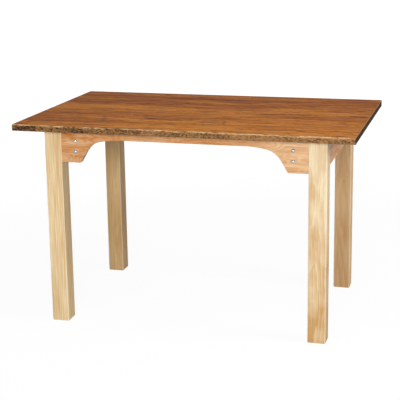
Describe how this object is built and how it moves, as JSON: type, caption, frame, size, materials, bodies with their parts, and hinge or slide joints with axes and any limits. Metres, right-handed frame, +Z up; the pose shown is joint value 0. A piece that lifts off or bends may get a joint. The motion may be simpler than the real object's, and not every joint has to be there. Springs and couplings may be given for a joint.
{
  "type": "work table",
  "caption": "Rectangular work table: wood-grain laminate top on square wooden legs, arched long aprons and straight end aprons bolted to steel corner plates.",
  "frame": {"origin": "on the floor under the middle of the top", "axes": "+X along the length, to the right as seen from the front; +Y to the rear; +Z up"},
  "size_m": [1.219, 0.762, 0.744],
  "materials": {
    "laminate": "satin wood-grain print",
    "particleboard": "sawn edge, sealed",
    "backer": "matt",
    "leg_wood": "clear satin lacquer",
    "apron_wood": "clear satin lacquer",
    "plate_steel": "zinc plated",
    "fastener_steel": "bright zinc plated"
  },
  "bodies": {
    "root": {"top_laminate": "laminate", "top_core": "particleboard", "top_backer": "backer", "leg_front_left": "leg_wood", "leg_front_right": "leg_wood", "leg_rear_left": "leg_wood", "leg_rear_right": "leg_wood", "apron_front": "apron_wood", "apron_rear": "apron_wood", "apron_left": "apron_wood", "apron_right": "apron_wood", "corner_plate_front_left": "plate_steel", "corner_plate_front_right": "plate_steel", "corner_plate_rear_left": "plate_steel", "corner_plate_rear_right": "plate_steel", "top_bracket_front_left": "plate_steel", "top_bracket_front_middle": "plate_steel", "top_bracket_front_right": "plate_steel", "top_bracket_rear_left": "plate_steel", "top_bracket_rear_middle": "plate_steel", "top_bracket_rear_right": "plate_steel", "top_bracket_left": "plate_steel", "top_bracket_right": "plate_steel", "apron_bolts": "fastener_steel", "apron_washers": "fastener_steel", "apron_nuts": "fastener_steel", "leg_bolts": "fastener_steel", "leg_washers": "fastener_steel", "leg_nuts": "fastener_steel", "plate_screws": "fastener_steel", "bracket_screws": "fastener_steel"}
  },
  "joints": []
}
